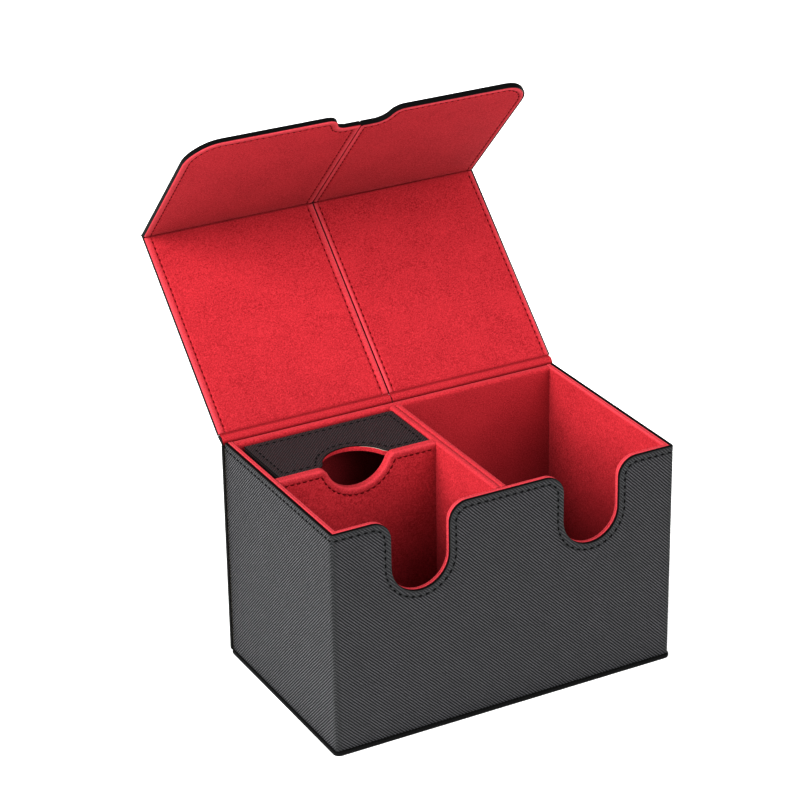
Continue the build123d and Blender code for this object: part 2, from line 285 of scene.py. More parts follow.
def panel(outline, profile):
    """A closed sheet whose finished edges follow the profile's steps of inset, height and mark."""
    count = len(outline)
    points = []
    marks = []
    faces = []
    for inset, height, mark in profile:
        points += [(a, b, height) for a, b in drawn_in(outline, inset)]
        marks += [mark] * count
    rings = [list(range(ring * count, (ring + 1) * count)) for ring in range(len(profile))]

    def through(index):
        """Points through the sheet at a corner: the outermost two where neither edge is finished."""
        finished = outline[index][2] or outline[index - 1][2]
        return [ring[index] for ring in (rings if finished else (rings[0], rings[-1]))]

    for index, (_, _, drawn) in enumerate(outline):
        following = (index + 1) % count
        if drawn:
            for low, high in zip(rings, rings[1:]):
                faces.append([low[index], low[following], high[following], high[index]])
        else:
            faces.append(through(index) + through(following)[::-1])
    faces += [rings[0], rings[-1]]
    return Shape().add(points, faces, marks)


def plain_run(start, end):
    """Stations of a strip that is alike all over."""
    return [(start, None), (end, None)]


def black_ended(start, end):
    """Stations of a strip whose two cut ends are inked."""
    ink = 0.3
    begin = [(start, WALL), (start + ink, WALL), (start + 2 * ink, None)]
    return begin + [(end - 2 * ink, None), (end - ink, WALL), (end, WALL)]


def tube_faces(rings, count):
    """Faces of a closed tube: its two ends, and its sides from ring to ring."""
    faces = [list(range(count)), list(range((rings - 1) * count, rings * count))]
    for first in range(0, (rings - 1) * count, count):
        second = first + count
        for index in range(count):
            following = (index + 1) % count
            faces.append([first + index, first + following, second + following, second + index])
    return faces


def strip(section, stations, marks):
    """A closed section (along, out) carried across. A station may mark all its points alike."""
    count = len(section)
    lengths = [0.0]
    for before, after in zip(section, section[1:]):
        lengths.append(lengths[-1] + math.dist(before, after))
    points = []
    pattern = []
    all_marks = []
    for across, mark in stations:
        points += [(across, b, h) for b, h in section]
        pattern += [(across, length) for length in lengths]
        all_marks += marks if mark is None else [mark] * count
    return Shape().add(points, tube_faces(len(stations), count), all_marks, pattern)


def seam(outline, inset):
    """Lines beside the finished edges, at the inset."""
    moved = drawn_in(outline, inset)
    count = len(outline)
    breaks = [index for index in range(count) if not outline[index][2]]
    if not breaks:
        return [moved + moved[:1]]
    chains = []
    for index in breaks:
        place = (index + 1) % count
        chain = [moved[place]]
        while outline[place][2]:
            place = (place + 1) % count
            chain.append(moved[place])
        if len(chain) > 1:
            chains.append(chain)
    return chains


def along_chain(chain, distance):
    """The point of a line at a distance from its start, and the direction there."""
    for before, after in zip(chain, chain[1:]):
        length = math.dist(before, after)
        if distance <= length or after is chain[-1]:
            share = distance / length if length else 0.0
            direction = (Vector(after) - Vector(before)).normalized()
            return Vector(before).lerp(Vector(after), share), direction
        distance -= length


def sew(chains, level, lift, stitch, pitch, thread, ends=1.0):
    """Short thread tubes along the lines. Each rises out of the sheet and dips back into it."""
    rings = 6
    sides = 7
    rise = 0.9
    dip = 0.3
    end_size = 0.6
    shape = Shape()
    for chain in chains:
        total = sum(math.dist(before, after) for before, after in zip(chain, chain[1:]))
        room = total - 2 * ends - stitch
        if room < 0:
            continue
        count = int(room / pitch) + 1
        spare = (room - (count - 1) * pitch) / 2
        for number in range(count):
            begin = ends + spare + number * pitch
            points = []
            pattern = []
            for ring in range(rings):
                share = ring / (rings - 1)
                centre, direction = along_chain(chain, begin + stitch * share)
                arch = math.sin(math.pi * share)
                height = level + lift * thread * (rise * arch - dip)
                radius = thread * (end_size + (1 - end_size) * arch)
                for side in range(sides):
                    angle = 2 * math.pi * side / sides
                    out = radius * math.cos(angle)
                    points.append((
                        centre.x - direction.y * out,
                        centre.y + direction.x * out,
                        height + radius * math.sin(angle),
                    ))
                    pattern.append((stitch * share, radius * angle))
            shape.add(points, tube_faces(rings, sides), [FIELD] * len(points), pattern)
    return shape


def placing(origin, across, along, out):
    """Puts sheet coordinates into the frame, in millimetres."""
    origin, across, along, out = (Vector(v) for v in (origin, across, along, out))
    return lambda a, b, h: origin + across * a + along * b + out * h


def new_object(name, data):
    """An object in the scene."""
    made = bpy.data.objects.new(name, data)
    bpy.context.scene.collection.objects.link(made)
    return made


def smooth_object(name, mesh, finish):
    """An object from a finished mesh: faces outwards, smooth up to its sharp edges."""
    mesh.normal_update()
    bmesh.ops.recalc_face_normals(mesh, faces=mesh.faces)
    if mesh.calc_volume(signed=True) < 0:
        bmesh.ops.reverse_faces(mesh, faces=mesh.faces)
    data = bpy.data.meshes.new(name)
    mesh.to_mesh(data)
    mesh.free()
    data.shade_smooth()
    data.set_sharp_from_angle(angle=SHARP_ANGLE)
    data.materials.append(finish)
    made = new_object(name, data)
    return made


def cut_mesh(mesh, axis, value):
    """Cuts all faces of a flat sheet along a line, so that the sheet can bend there."""
    point = Vector((0, 0, 0))
    normal = Vector((0, 0, 0))
    point[axis] = value
    normal[axis] = 1
    on_line = 1e-5
    everything = mesh.verts[:] + mesh.edges[:] + mesh.faces[:]
    bmesh.ops.bisect_plane(mesh, geom=everything, plane_co=point, plane_no=normal, dist=on_line)


def build(name, shape, place, finish, slot, cuts=(), fold=None, inked=False, fade=None):
    """Makes the mesh of a shape: cut where it bends, patterned, placed and shaded."""
    weld = 1e-4
    mesh = bmesh.new()
    mark_layer = mesh.verts.layers.float.new("edge")
    place_layer = mesh.verts.layers.float_vector.new("flat")
    for point, mark, pattern in zip(shape.points, shape.marks, shape.pattern):
        vertex = mesh.verts.new(point)
        vertex[mark_layer] = mark
        vertex[place_layer] = (*pattern, 0.0)
    mesh.verts.ensure_lookup_table()
    for face in shape.faces:
        mesh.faces.new([mesh.verts[corner] for corner in face])
    unused = [vertex for vertex in mesh.verts if not vertex.link_faces]
    bmesh.ops.delete(mesh, geom=unused, context="VERTS")
    bmesh.ops.remove_doubles(mesh, verts=mesh.verts, dist=weld)
    for axis, value in cuts:
        cut_mesh(mesh, axis, value)
    uv_layer = mesh.loops.layers.uv.new("pattern")
    for face in mesh.faces:
        for loop in face.loops:
            a, b, _ = loop.vert[place_layer]
            if fold:
                a = fold(a)
            loop[uv_layer].uv = (a * MM, b * MM)
    for vertex in mesh.verts:
        if fade:
            vertex[mark_layer] = max(vertex[mark_layer], fade(vertex.co.x))
        vertex.co = place(*vertex.co) * MM
    mesh.verts.layers.float_vector.remove(place_layer)
    made = smooth_object(name, mesh, finish)
    if inked:
        made.data.materials.append(inked_edge)
        marks = made.data.attributes["edge"].data
        for polygon in made.data.polygons:
            if min(marks[corner].value for corner in polygon.vertices) > INKED_ABOVE:
                polygon.material_index = 1
    return made


# Material helpers


def new_material(name):
    """A material with its node tree."""
    made = bpy.data.materials.new(name)
    made.use_nodes = True
    return made, made.node_tree


def plug(tree, target, inputs):
    """Values or links on the inputs of a node."""
    for key, value in inputs.items():
        if isinstance(value, bpy.types.NodeSocket):
            tree.links.new(value, target.inputs[key])
        else:
            target.inputs[key].default_value = value


def shade(tree, inputs):
    """Values or links on the inputs of a material's shader."""
    plug(tree, tree.nodes["Principled BSDF"], inputs)


def node(tree, kind, inputs, **settings):
    """A shader node with its settings, and with values or links on its inputs."""
    made = tree.nodes.new(kind)
    for key, value in settings.items():
        setattr(made, key, value)
    plug(tree, made, inputs)
    return made


def pattern_place(tree):
    """Where a point lies on its flat sheet."""
    return node(tree, "ShaderNodeUVMap", {}, uv_map="pattern").outputs["UV"]


def object_place(tree):
    """Where a point lies in the frame."""
    return node(tree, "ShaderNodeTexCoord", {}).outputs["Object"]


def edge_marks(tree):
    """How a point of a sheet is marked."""
    return node(tree, "ShaderNodeAttribute", {}, attribute_name="edge").outputs["Fac"]


def turned(tree, where, angle):
    """A flat place turned about the sheet's normal."""
    inputs = {"Vector": where, "Rotation": (0, 0, angle)}
    return node(tree, "ShaderNodeMapping", inputs).outputs[0]


def lines(tree, where, pitch, waver=()):
    """Soft parallel lines at a pitch in metres, straight or wavering."""
    wave_factor = 20
    inputs = {"Vector": where, "Scale": 2 * math.pi / wave_factor / pitch}
    inputs.update(waver)
    return node(tree, "ShaderNodeTexWave", inputs, bands_direction="X").outputs["Fac"]


def noise(tree, where, scale, detail, roughness):
    """Noise at a scale per metre."""
    inputs = {"Vector": where, "Scale": scale, "Detail": detail, "Roughness": roughness}
    return node(tree, "ShaderNodeTexNoise", inputs).outputs["Fac"]


def calc(tree, operation, first, second, third=0.0):
    """A value worked out from others."""
    inputs = {0: first, 1: second, 2: third}
    return node(tree, "ShaderNodeMath", inputs, operation=operation, use_clamp=True).outputs[0]


def span(tree, value, low, high, to_low=0.0, to_high=1.0):
    """A value carried from one range to another."""
    inputs = {"Value": value, "From Min": low, "From Max": high, "To Min": to_low, "To Max": to_high}
    return node(tree, "ShaderNodeMapRange", inputs).outputs[0]


def mix(tree, share, first, second):
    """Two colours mixed. Each is a link or a plain colour."""
    inputs = {0: share}
    for index, value in ((6, first), (7, second)):
        inputs[index] = (*value, 1.0) if isinstance(value, tuple) else value
    return node(tree, "ShaderNodeMix", inputs, data_type="RGBA").outputs[2]


def bump(tree, height, strength, distance):
    """A surface normal from a height."""
    inputs = {"Height": height, "Strength": strength, "Distance": distance}
    return node(tree, "ShaderNodeBump", inputs).outputs["Normal"]


def leather_finish(name, dye, shine):
    """Charcoal coated leather with fine slanting ridges, their grooves painted darker as shade and their
    tops lighter as highlight, smooth along its sewn margins.
    """
    made, tree = new_material(name)
    flat = pattern_place(tree)
    slanting = turned(tree, flat, -math.pi / 4)
    waver = {"Distortion": 1.0, "Detail": 1.0, "Detail Scale": 0.6}
    grain = noise(tree, flat, 1500, 3.0, 0.7)
    cloud = noise(tree, flat, 90, 3.0, 0.55)
    marks = edge_marks(tree)
    ridged = span(tree, marks, 0.1, 0.6, 1.0, 0.0)
    dark = span(tree, marks, 0.52, 0.8)
    ridge = span(tree, lines(tree, slanting, 1.1 * MM, waver), 0.3, 0.75)
    ridge = calc(tree, "MULTIPLY", ridge, span(tree, grain, 0.3, 0.7, 0.5, 1.0))
    ridge_height = calc(tree, "MULTIPLY", ridge, ridged)
    margin = mix(tree, grain, (0.012, 0.014, 0.014), (0.024, 0.026, 0.026))
    # Ridge tone: grooves near black and ridge tops lighter, painted shade and painted highlight over the
    # ridges' relief
    tone = mix(tree, ridge_height, (0.002, 0.002, 0.003), (0.070, 0.070, 0.076))
    tone = mix(tree, ridged, margin, tone)
    tone = mix(tree, span(tree, cloud, 0.3, 0.7, 0.0, 0.3), tone, (0.012, 0.012, 0.013))
    tone = mix(tree, dark, tone, (0.004, 0.004, 0.004))
    relief = calc(tree, "MULTIPLY_ADD", grain, 0.18, ridge_height)
    shade(tree, {
        "Base Color": mix(tree, dye, tone, (0.042, 0.036, 0.037)),
        "Roughness": span(tree, ridge, 0.0, 1.0, 0.85, 0.34),
        "Specular IOR Level": shine,
        "Normal": bump(tree, relief, 1.0, 0.40 * MM),
    })
    return made


def ink_finish():
    """The inked black edges of the leather, slightly uneven."""
    made, tree = new_material("inked_edge")
    grain = noise(tree, pattern_place(tree), 1800, 3.0, 0.6)
    shade(tree, {
        "Base Color": mix(tree, grain, (0.002, 0.002, 0.002), (0.007, 0.007, 0.007)),
        "Roughness": span(tree, grain, 0.3, 0.7, 0.5, 0.7),
        "Specular IOR Level": 0.08,
        "Normal": bump(tree, grain, 0.3, 0.08 * MM),
    })
    return made


def suede_finish(name, by_pattern):
    """Red suede: fine mottled nap, broad brushed clouds, a soft sheen, paler edges that are partly wear and
    partly painted highlight, and painted shade where marked below zero.
    """
    made, tree = new_material(name)
    where = pattern_place(tree) if by_pattern else object_place(tree)
    marks = edge_marks(tree)
    nap = noise(tree, where, 1600, 4.0, 0.75)
    fleck = noise(tree, where, 700, 3.0, 0.6)
    cloud = noise(tree, where, 55, 3.0, 0.55)
    tone = mix(tree, span(tree, nap, 0.36, 0.64), (0.20, 0.010, 0.015), (0.435, 0.038, 0.050))
    tone = mix(tree, span(tree, fleck, 0.4, 0.75, 0.0, 0.22), tone, (0.22, 0.010, 0.014))
    tone = mix(tree, span(tree, cloud, 0.35, 0.75, 0.0, 0.22), tone, (0.465, 0.039, 0.050))
    # Paler towards marked edges and rolls: partly wear, partly painted highlight
    tone = mix(tree, span(tree, marks, 0.1, 1.0, 0.0, 0.42), tone, (0.62, 0.115, 0.140))
    # Darker where marked below zero: painted shade in slits, creases, grooves and tucks
    tone = mix(tree, span(tree, marks, -1.0, -0.1, 0.85, 0.0), tone, (0.060, 0.001, 0.002))
    shade(tree, {
        "Base Color": tone,
        "Roughness": 0.92,
        "Specular IOR Level": 0.05,
        "Sheen Weight": 0.06,
        "Sheen Roughness": 0.45,
        "Sheen Tint": (1.0, 0.45, 0.45, 1.0),
        "Normal": bump(tree, nap, 0.6, 0.25 * MM),
    })
    return made


def thread_finish(name, dark, light):
    """Twisted sewing thread."""
    made, tree = new_material(name)
    twist = lines(tree, turned(tree, pattern_place(tree), math.pi / 5), 0.35 * MM)
    shade(tree, {
        "Base Color": mix(tree, twist, dark, light),
        "Roughness": 0.8,
        "Specular IOR Level": 0.06,
        "Normal": bump(tree, twist, 0.5, 0.06 * MM),
    })
    return made


def board_finish():
    """Grey bookbinder's board with flecks of fibre."""
    made, tree = new_material("greyboard")
    fibre = noise(tree, object_place(tree), 900, 4.0, 0.7)
    shade(tree, {
        "Base Color": mix(tree, fibre, (0.22, 0.20, 0.17), (0.42, 0.39, 0.34)),
        "Roughness": 0.95,
        "Normal": bump(tree, fibre, 0.3, 0.1 * MM),
    })
    return made


def steel_finish():
    """Nickel-plated magnets, finely brushed."""
    made, tree = new_material("plated_steel")
    inputs = {"Vector": object_place(tree), "Scale": (1.0, 12.0, 12.0)}
    brushed = noise(tree, node(tree, "ShaderNodeMapping", inputs).outputs[0], 400, 3.0, 0.6)
    shade(tree, {
        "Base Color": mix(tree, brushed, (0.50, 0.50, 0.51), (0.68, 0.68, 0.69)),
        "Roughness": span(tree, brushed, 0.3, 0.7, 0.22, 0.38),
        "Metallic": 1.0,
    })
    return made


def floor_finish():
    """Plain pale floor, barely uneven, lit from within so that shadows on it stay faint."""
    made, tree = new_material("pale_floor")
    cloud = noise(tree, object_place(tree), 3, 2.0, 0.5)
    shade(tree, {
        "Base Color": mix(tree, cloud, (0.90, 0.90, 0.90), (0.93, 0.93, 0.93)),
        "Roughness": 0.9,
        "Specular IOR Level": 0.1,
        "Emission Color": (1.0, 1.0, 1.0, 1.0),
        "Emission Strength": 0.3,
    })
    return made


ridged_leather = leather_finish("ridged_leather", 0.0, 0.55)
tray_leather = leather_finish("tray_leather", 0.5, 0.25)
inked_edge = ink_finish()
red_suede = suede_finish("red_suede", False)
bent_suede = suede_finish("bent_red_suede", True)
black_thread = thread_finish("black_thread", (0.002, 0.002, 0.002), (0.007, 0.007, 0.008))
red_thread = thread_finish("red_thread", (0.045, 0.001, 0.002), (0.125, 0.004, 0.006))
greyboard = board_finish()
plated_steel = steel_finish()


def carry(made, body, nodes=()):
    """The piece rides on a body and stands for CAD nodes."""
    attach(made, body)
    if nodes:
        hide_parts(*nodes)


def leather_piece(name, shape, place, body, nodes, finish=ridged_leather, **bends):
    """A leather cover with inked edges."""
    made = build(name, shape, place, finish, "outer_leather", inked=True, **bends)
    carry(made, body, nodes)


def suede_piece(name, shape, place, body, nodes, cuts=()):
    """A suede lining."""
    made = build(name, shape, place, red_suede, "suede_lining", cuts)
    carry(made, body, nodes)


def leather_sewing(name, chains, level, place, body):
    """Black stitches in leather."""
    shape = sew(chains, level, 1, leather_stitch, leather_pitch, leather_thread)
    carry(build(name, shape, place, black_thread, "outer_leather"), body)


def lining_sewing(name, chains, level, lift, place, body, ends=1.0):
    """Dark red stitches in suede."""
    shape = sew(chains, level, lift, lining_stitch, lining_pitch, lining_thread, ends)
    carry(build(name, shape, place, red_thread, "suede_lining"), body)


def leather_edge(thick):
    """Profile of a leather sheet glued on a board: a cut edge, a smooth margin, a sewn groove."""
    groove = 0.16
    return [
        (0.3, 0.0, WALL),
        (0.04, 0.35 * thick, WALL),
        (0.08, 0.75 * thick, WALL),
        (0.28, 0.96 * thick, 0.8),
        (0.6, thick, MARGIN),
        (1.2, thick, 0.2),
        (leather_seam - 0.65, thick, 0.2),
        (leather_seam - 0.3, thick - 0.7 * groove, 0.4),
        (leather_seam, thick - groove, 0.4),
        (leather_seam + 0.3, thick - 0.7 * groove, 0.4),
        (leather_seam + 0.6, thick, 0.15),
        (leather_seam + 0.9, thick, FIELD),
    ]


def suede_edge(face, back, sewn):
    """Profile of a lining sheet: an edge rolled round a board, a puffed margin, a sewn groove."""
    out = math.copysign(1, face - back)
    puff = 0.1 * out
    groove = -0.3 * out
    # The rolled edge is marked paler, partly wear and partly painted highlight; the sewn groove is marked
    # for painted shade
    return [
        (0.7, back, 0.5),
        (0.55, face - edge_roll * out, 0.5),
        (0.15, face - edge_roll * out, 0.5),
        (0.0, face - 0.75 * edge_roll * out, 0.6),
        (0.0, face - 0.45 * out, 0.8),
        (0.15, face - 0.15 * out, 0.9),
        (0.55, face + 0.5 * puff, 0.8),
        (1.2, face + puff, 0.6),
        (sewn - 0.85, face + 0.9 * puff, 0.45),
        (sewn - 0.45, face + 0.4 * groove, 0.1),
        (sewn, face + groove, -0.6),
        (sewn + 0.35, face + 0.4 * groove, 0.1),
        (sewn + 0.75, face + 0.3 * puff, 0.15),
        (sewn + 1.5, face, FIELD),
    ]


# Covers of the box and the tray

as_drawn = placing((0, 0, 0), (1, 0, 0), (0, 1, 0), (0, 0, 1))


def wrapped(middle, half, face, facing, radius, thick):
    """Placing of a sheet bent round two upright corners. Facing is -1 to the front and 1 to the back."""
    straight = half - radius
    bend = radius * math.pi / 2

    def place(u, z, h):
        side = math.copysign(1, u)
        run = abs(u) - straight
        level = radius - thick + h
        if run <= 0:
            return Vector((middle + u, face + facing * (h - thick), z))
        if run < bend:
            turn = run / radius
            across = straight + level * math.sin(turn)
            inward = radius - level * math.cos(turn)
        else:
            across = straight + level
            inward = radius + run - bend
        return Vector((middle + side * across, face - facing * inward, z))

    return place


def bend_cuts(half, radius):
    """Where the sheet is cut so that it bends smoothly round both corners."""
    steps = 6
    bend = radius * math.pi / 2
    places = [half - radius + bend * step / steps for step in range(steps + 1)]
    return [(X, side * place) for side in (-1, 1) for place in places]


def shortened(chains, low, high):
    """Lines held between two levels along a sheet."""
    return [[(a, min(max(b, low), high)) for a, b in chain] for chain in chains]


def sewn_leather(name, outline, profile, place, body, limits=None, stitches=None, **more):
    """A leather cover, and the stitches in its groove, the fourth row from its profile's end."""
    groove_row = -4
    leather_piece(name, panel(outline, profile), place, body, **more)
    chains = seam(outline, profile[groove_row][0])
    if limits:
        chains = shortened(chains, *limits)
    level = profile[-1][1] - leather_sunk
    leather_sewing(stitches or name + "_stitches", chains, level, place, body)


def box_outline(half, foot):
    """Front and sides unrolled: open at the foot and both ends, with the two cut-outs in the rim."""
    outline = edge([(-half, foot), (half, foot)], False)
    outline += edge([(half, rim)] + cutout(well_middle, rim) + cutout(-well_middle, rim), True)
    return outline + edge([(-half, rim)], False)


def outer_cover():
    """Outer leather of the front and the sides: one sheet, bent round the two front corners."""
    half_bend = leather_corner * math.pi / 4
    corner = side_out - leather_corner + half_bend
    half = corner + half_bend + side_end - front_out - leather_corner
    smooth = 0.3
    smooth_run = 2.5

    def chevron(u):
        """The ridges turn back at the corners."""
        if abs(u) <= corner:
            return u
        return math.copysign(1, u) * (2 * corner - abs(u))

    def smooth_bend(u):
        """The ridges fade towards the corners."""
        beside = max(0.0, abs(abs(u) - corner) - half_bend)
        return smooth * max(0.0, 1 - beside / smooth_run)

    cuts = bend_cuts(side_out, leather_corner)
    for smooth_end in (corner - half_bend - smooth_run, corner + half_bend + smooth_run):
        cuts += [(X, smooth_end), (X, -smooth_end)]
    bead = [
        (lining + 0.1, 0.0, WALL),
        (0.5, 0.15 - bead_over, WALL),
        (0.28, -bead_over, WALL),
        (0.08, 0.1 - bead_over, WALL),
        (0.0, 0.35 - bead_over, WALL),
        (0.0, 0.15, WALL),
        (0.03, 0.35, WALL),
        (0.13, 0.52, 0.8),
        (0.35, leather, MARGIN),
    ]
    profile = bead + leather_edge(leather)[5:]
    place = wrapped(0, side_out, front_out, -1, leather_corner, leather)
    nodes = ("front_leather", "left_side_leather", "right_side_leather")
    bent = {"nodes": nodes, "cuts": cuts, "fold": chevron, "fade": smooth_bend}
    sewn_leather("outer_cover", box_outline(half, base_top), profile, place, "box", **bent)


def inner_cover():
    """Lining of the front and the sides, turned over the rim in two soft rolls."""
    half = side_in + side_end - front_in
    mitre_run = side_in - well_middle - cutout_width / 2 - cutout_shoulder
    over = side_board_out - side_in
    outline = box_outline(half, lining_foot)
    middle = 0.4 * over
    # Marked below zero where the lining tucks under the leather's bead: painted shade. The rolls over the
    # rim are marked paler, partly wear and partly painted highlight.
    profile = [
        (lining, -lining, FIELD),
        (lining, -over, FIELD),
        (0.58, -over, PAINTED_SHADE),
        (0.5, bead_over - 0.15 - over, PAINTED_SHADE),
        (0.28, bead_over + 0.05 - over, -0.3),
        (0.08, bead_over + 0.25 - over, 0.7),
        (0.0, bead_over + 0.5 - over, 0.9),
        (0.03, -middle - 0.35, 0.8),
        (0.1, -middle - 0.15, 0.45),
        (0.16, -middle, 0.15),
        (0.1, 0.15 - middle, 0.4),
        (0.02, 0.4 - middle, 0.6),
        (0.0, -1.0, 0.8),
        (0.08, -0.6, 0.8),
        (0.28, -0.28, 0.6),
        (0.6, -0.07, 0.35),
        (1.05, 0.0, 0.15),
        (1.8, 0.0, FIELD),
    ]

    def place(u, z, h):
        side = math.copysign(1, u)
        run = abs(u) - side_in
        if run <= 0:
            spread = -h * max(0.0, 1 + run / mitre_run)
            return Vector((u + side * spread, front_in + h, z))
        draw = -h * max(0.0, 1 - run / mitre_run)
        return Vector((side * (side_in - h), front_in + run - draw, z))

    nodes = ("front_lining", "left_side_lining", "right_side_lining")
    cuts = [(X, -side_in), (X, side_in)]
    suede_piece("inner_cover", panel(outline, profile), place, "box", nodes, cuts)


def base_cover():
    """The bottom of the case: a slab of board turned in with leather, its edge softly rounded."""
    round_edge = 0.5
    lap = 1.6
    low = 0.02
    high = base_top + low
    outline = rounded_rectangle(-case_half, case_half, case_front, back_out, base_corner)
    profile = [(lap, low, WALL)]
    for turn in range(-90, 91, 30):
        angle = math.radians(turn)
        inset = round_edge * (1 - math.cos(angle))
        level = (low + high) / 2 + (high - low) / 2 * math.sin(angle)
        profile.append((inset, level, WALL))
    profile.append((lap, high, WALL))
    leather_piece("base_cover", panel(outline, profile), as_drawn, "box", ["base_leather"])


def back_cover():
    """The back of the case: board covered in leather, sewn down both sides."""
    thick = back_out - back_board_out
    roll = 0.2
    outline = open_ended(-case_half, case_half, base_top, cover_top)
    profile = [
        (0.5, 0.0, WALL),
        (0.15, 0.1, WALL),
        (0.02, 0.35, WALL),
        (0.0, thick / 2, WALL),
        (0.03, thick - 0.4, WALL),
        (0.2, thick - 0.12, 0.9),
    ]
    sheet = leather_edge(leather)[4:]
    profile += [(inset + roll, thick - leather + height, mark) for inset, height, mark in sheet]
    place = placing((0, back_board_out, 0), (1, 0, 0), (0, 0, 1), (0, 1, 0))
    sewn_leather("back_cover", outline, profile, place, "box", nodes=["back_leather"])


def floor_cover():
    """Lining of the floor, sunk a little along the walls."""
    corner = 0.4
    outline = rounded_rectangle(-side_in, side_in, front_in, back_in, corner)
    steps = [(0.0, 0.0), (0.0, 0.35), (0.25, 0.56), (0.8, lining), (1.4, lining)]
    profile = [(inset, height, FIELD) for inset, height in steps]
    place = placing((0, 0, lining_foot), (1, 0, 0), (0, 1, 0), (0, 0, 1))
    suede_piece("floor_cover", panel(outline, profile), place, "box", ["floor_lining"])


def back_wall_cover():
    """Lining of the back wall, turned over the back rim towards the hinges."""
    roll = 1.7
    steps = 8
    section = [(back_board_in, lining_foot), (back_in, lining_foot), (back_in, rim - 2 * roll)]
    section += arc((back_in + roll, rim - roll), roll, 180, 90, steps)
    section += [
        (back_lip - 1.3, rim),
        (back_lip - 0.75, rim - 0.08),
        (back_lip - 0.35, rim - 0.3),
        (back_lip, board_rim + 0.05),
        (back_lip, board_rim),
        (back_board_in, board_rim),
    ]
    # The roll over the back rim is marked a little paler, partly wear and partly painted highlight; the lip
    # under the board's rim is marked for painted shade
    marks = [FIELD] * 3 + [0.04 * step for step in range(steps + 1)]
    marks += [0.4, 0.35, FIELD, -0.6, FIELD, FIELD]
    shape = strip(section, plain_run(-side_in, side_in), marks)
    suede_piece("back_wall_cover", shape, as_drawn, "box", ["back_lining"])


def divider_cover(side):
    """Lining folded over one of the two divider boards."""
    node_name = side + "_divider_lining"
    left, right, *_ = extents(node_name)
    soft = 1.1
    steps = 5
    section = [(left, floor_top), (left, rim - soft)]
    section += arc((left + soft, rim - soft), soft, 165, 90, steps)
    section += arc((right - soft, rim - soft), soft, 90, 15, steps)
    section += [(right, rim - soft), (right, floor_top)]
    # The roll over the top is marked paler, partly wear and partly painted highlight
    marks = [FIELD, 0.1] + [0.3] * (2 * steps + 2) + [0.1, FIELD] + [FIELD] * 4
    section += [
        (right - lining, floor_top),
        (right - lining, board_rim),
        (left + lining, board_rim),
        (left + lining, floor_top),
    ]
    place = placing((0, 0, 0), (0, 1, 0), (1, 0, 0), (0, 0, 1))
    shape = strip(section, plain_run(front_in, back_in), marks)
    suede_piece(side + "_divider_cover", shape, place, "box", [node_name])


def partition_cover():
    """A softly padded partition, sewn beside its top edge and round the notch on both faces."""
    left, right, front, back, _, _ = extents("partition_lining")
    thick = back - front
    outline = edge([(left, floor_top), (right, floor_top)], False)
    outline += edge([(right, rim)] + thumb_notch(-well_middle, rim, thumb_depth), True)
    outline += edge([(left, rim)], False)
    # The sewn groove is marked for painted shade; the rolled top edge is marked paler, partly wear and
    # partly painted highlight
    half_profile = [
        (lining_seam + 0.55, -0.08, FIELD),
        (lining_seam + 0.3, -0.1, FIELD),
        (lining_seam, -0.3, -0.35),
        (lining_seam - 0.35, -0.1, 0.1),
        (lining_seam - 0.9, -0.02, 0.2),
        (1.2, 0.0, 0.3),
        (0.5, -0.16, 0.45),
        (0.12, -0.55, 0.5),
        (0.0, -1.05, 0.35),
        (0.03, -1.7, 0.3),
    ]
    profile = [(inset, -thick - height, mark) for inset, height, mark in half_profile]
    profile += list(reversed(half_profile))
    place = placing((0, front, 0), (1, 0, 0), (0, 0, 1), (0, -1, 0))
    suede_piece("partition_cover", panel(outline, profile), place, "box", ["partition_lining"])
    chains = seam(outline, lining_seam)
    sunk = 0.14
    lining_sewing("partition_stitches_front", chains, -sunk, 1, place, "box")
    lining_sewing("partition_stitches_back", chains, sunk - thick, -1, place, "box")


def tray_covers():
    """The tray that stands on end: top with a thumb notch, bottom, wrapped sides and back."""
    left, right, front, back, low, high = extents("tray_leather")
    thick = reach("tray_bottom_board", Z, LOW) - low
    middle = (left + right) / 2
    half = (right - left) / 2
    groove = 0.14
    sheet = [
        (0.75, -thick, WALL),
        (0.3, -thick - 0.2, WALL),
        (0.06, -thick - 0.1, WALL),
        (0.0, 0.2 - thick, WALL),
        (0.08, -0.1, 0.8),
        (0.3, -0.02, 0.35),
        (0.7, 0.0, 0.25),
        (leather_seam - 0.5, 0.0, 0.25),
        (leather_seam - 0.2, -0.7 * groove, 0.3),
        (leather_seam, -groove, 0.3),
        (leather_seam + 0.2, -0.7 * groove, 0.2),
        (leather_seam + 0.45, 0.0, FIELD),
        (leather_seam + 0.65, 0.0, FIELD),
    ]
    corners = rectangle(left, right, -back, -front)
    notch = thumb_notch(middle, -front, tray_thumb_depth)
    notched = edge(corners[:3] + notch + corners[3:], True)
    plain = edge(corners, True)
    above = placing((0, 0, high), (1, 0, 0), (0, -1, 0), (0, 0, 1))
    below = placing((0, 0, low), (1, 0, 0), (0, -1, 0), (0, 0, -1))
    looks = {"nodes": ["tray_leather"], "finish": tray_leather}
    sewn_leather("tray_top_cover", notched, sheet, above, "tray", stitches="tray_top_stitches", **looks)
    leather_piece("tray_bottom_cover", panel(plain, sheet), below, "tray", **looks)

    joint = 0.3
    bent_half = half - tray_corner + tray_corner * math.pi / 2 + back - tray_corner - front
    outline = edge(rectangle(-bent_half, bent_half, low + joint, high - joint), True)
    around = wrapped(middle, half, back, 1, tray_corner, thick)
    cuts = bend_cuts(half, tray_corner)
    sewn_leather("tray_wrap", outline, leather_edge(thick), around, "tray", cuts=cuts, **looks)


